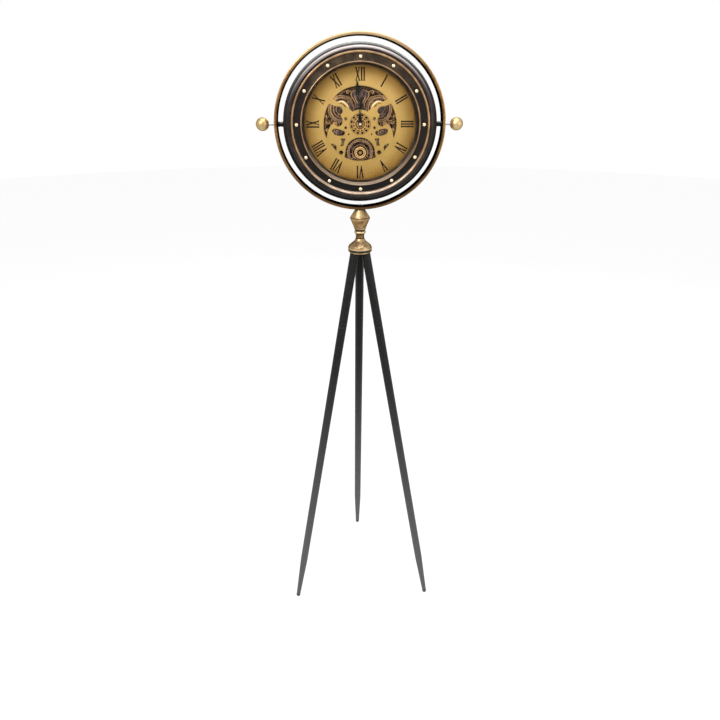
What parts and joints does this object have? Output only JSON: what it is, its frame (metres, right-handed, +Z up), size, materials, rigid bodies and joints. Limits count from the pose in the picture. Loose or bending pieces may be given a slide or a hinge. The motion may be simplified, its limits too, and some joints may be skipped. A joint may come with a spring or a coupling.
{
  "type": "tripod floor clock",
  "caption": "Floor clock: a round pierced-dial clock head that tilts in an upright ring, on a turned stem with splayed tubular legs.",
  "frame": {"origin": "on the floor, at the centre of the object's box seen from above", "axes": "+Z up, the dial faces -Y, so +X is on the right of someone who reads the clock"},
  "size_m": [0.4472, 0.2964, 1.37],
  "materials": {
    "leg_paint": "dark charcoal paint, satin",
    "collar_paint": "black paint, satin",
    "aged_brass": "antique brass with dark patina in the hollows",
    "ring_bronze": "antique bronze, worn gold on the edges",
    "case_bronze": "very dark bronze, satin, worn gold on the crests",
    "dial_gold": "aged gold dial with brown roman numerals",
    "gear_bronze": "dark bronze with gold worn edges",
    "bright_steel": "bright zinc-plated steel",
    "hand_black": "black paint, satin",
    "lens": "clear flat glass",
    "rubber_black": "matte rubber",
    "movement_plastic": "fine-grained black plastic",
    "cell_jacket": "plain printed foil sleeve, no text"
  },
  "bodies": {
    "stand": {"leg_upper_left": "leg_paint", "leg_lower_left": "leg_paint", "foot_left": "rubber_black", "leg_upper_right": "leg_paint", "leg_lower_right": "leg_paint", "foot_right": "rubber_black", "leg_upper_rear": "leg_paint", "leg_lower_rear": "leg_paint", "foot_rear": "rubber_black", "leg_hub": "aged_brass", "stem_collar": "collar_paint", "stem_bell": "aged_brass", "stem_neck": "aged_brass", "urn_cup": "aged_brass", "urn_cap": "aged_brass", "tie_bolt": "bright_steel", "yoke_ring": "ring_bronze"},
    "head": {"case_shell": "case_bronze", "rear_cover": "case_bronze", "cover_screw_1": "bright_steel", "cover_screw_2": "bright_steel", "cover_screw_3": "bright_steel", "bezel": "case_bronze", "bezel_screw_01": "aged_brass", "bezel_screw_02": "aged_brass", "bezel_screw_03": "aged_brass", "bezel_screw_04": "aged_brass", "bezel_screw_05": "aged_brass", "bezel_screw_06": "aged_brass", "bezel_screw_07": "aged_brass", "bezel_screw_08": "aged_brass", "bezel_screw_09": "aged_brass", "bezel_screw_10": "aged_brass", "bezel_screw_11": "aged_brass", "bezel_screw_12": "aged_brass", "glass": "lens", "glass_gasket": "rubber_black", "dial_spacer": "case_bronze", "dial_plate": "dial_gold", "gear_plate": "gear_bronze", "movement_case": "movement_plastic", "battery": "cell_jacket", "gear_motor": "movement_plastic", "tilt_spacer_left": "case_bronze", "tilt_spacer_right": "case_bronze"},
    "knob_left": {"ball_knob_left": "aged_brass", "tilt_bolt_left": "bright_steel"},
    "knob_right": {"ball_knob_right": "aged_brass", "tilt_bolt_right": "bright_steel"},
    "wheel_centre": {"gear_centre": "dial_gold"},
    "wheel_lower": {"gear_lower": "gear_bronze", "pinion_lower": "aged_brass"},
    "wheel_right": {"gear_right": "gear_bronze"},
    "wheel_upper_right": {"gear_upper_right": "gear_bronze"},
    "wheel_upper_left": {"gear_upper_left": "gear_bronze"},
    "wheel_left": {"gear_left": "gear_bronze"},
    "hand_hour": {"hour_hand": "hand_black"},
    "hand_minute": {"minute_hand": "hand_black", "hand_nut": "aged_brass"},
    "setter": {"set_knob": "movement_plastic"}
  },
  "joints": [
    {"name": "head_tilt", "type": "hinge", "parent": "stand", "child": "head", "pos_m": [0, -0.04775, 1.1858], "axis": [1, 0, 0], "continuous": true},
    {"name": "knob_left_turn", "type": "hinge", "parent": "head", "child": "knob_left", "pos_m": [-0.2094, -0.04775, 1.1858], "axis": [-1, 0, 0], "range_deg": [0, 360]},
    {"name": "knob_right_turn", "type": "hinge", "parent": "head", "child": "knob_right", "pos_m": [0.2094, -0.04775, 1.1858], "axis": [1, 0, 0], "range_deg": [0, 360]},
    {"name": "centre_spin", "type": "hinge", "parent": "head", "child": "wheel_centre", "pos_m": [0, -0.04775, 1.1858], "axis": [0, 1, 0], "continuous": true},
    {"name": "lower_spin", "type": "hinge", "parent": "head", "child": "wheel_lower", "pos_m": [0, -0.04775, 1.1258], "axis": [0, 1, 0], "continuous": true},
    {"name": "right_spin", "type": "hinge", "parent": "head", "child": "wheel_right", "pos_m": [0.054, -0.04775, 1.1858], "axis": [0, 1, 0], "continuous": true},
    {"name": "upper_right_spin", "type": "hinge", "parent": "head", "child": "wheel_upper_right", "pos_m": [0.027, -0.04775, 1.23256], "axis": [0, 1, 0], "continuous": true},
    {"name": "upper_left_spin", "type": "hinge", "parent": "head", "child": "wheel_upper_left", "pos_m": [-0.027, -0.04775, 1.23256], "axis": [0, 1, 0], "continuous": true},
    {"name": "left_spin", "type": "hinge", "parent": "head", "child": "wheel_left", "pos_m": [-0.054, -0.04775, 1.1858], "axis": [0, 1, 0], "continuous": true},
    {"name": "minute_turn", "type": "hinge", "parent": "head", "child": "hand_minute", "pos_m": [0, -0.04775, 1.1858], "axis": [0, 1, 0], "continuous": true},
    {"name": "hour_turn", "type": "hinge", "parent": "head", "child": "hand_hour", "pos_m": [0, -0.04775, 1.1858], "axis": [0, 1, 0], "continuous": true},
    {"name": "setter_turn", "type": "hinge", "parent": "head", "child": "setter", "pos_m": [0, -0.04775, 1.1998], "axis": [0, 1, 0], "continuous": true}
  ],
  "couplings": [
    {"joint": "lower_spin", "follows": "centre_spin", "ratio": -1},
    {"joint": "right_spin", "follows": "centre_spin", "ratio": -1.25},
    {"joint": "upper_right_spin", "follows": "centre_spin", "ratio": -1.25},
    {"joint": "upper_left_spin", "follows": "centre_spin", "ratio": -1.25},
    {"joint": "left_spin", "follows": "centre_spin", "ratio": -1.25},
    {"joint": "hour_turn", "follows": "minute_turn", "ratio": 0.083333},
    {"joint": "setter_turn", "follows": "minute_turn", "ratio": -1}
  ]
}
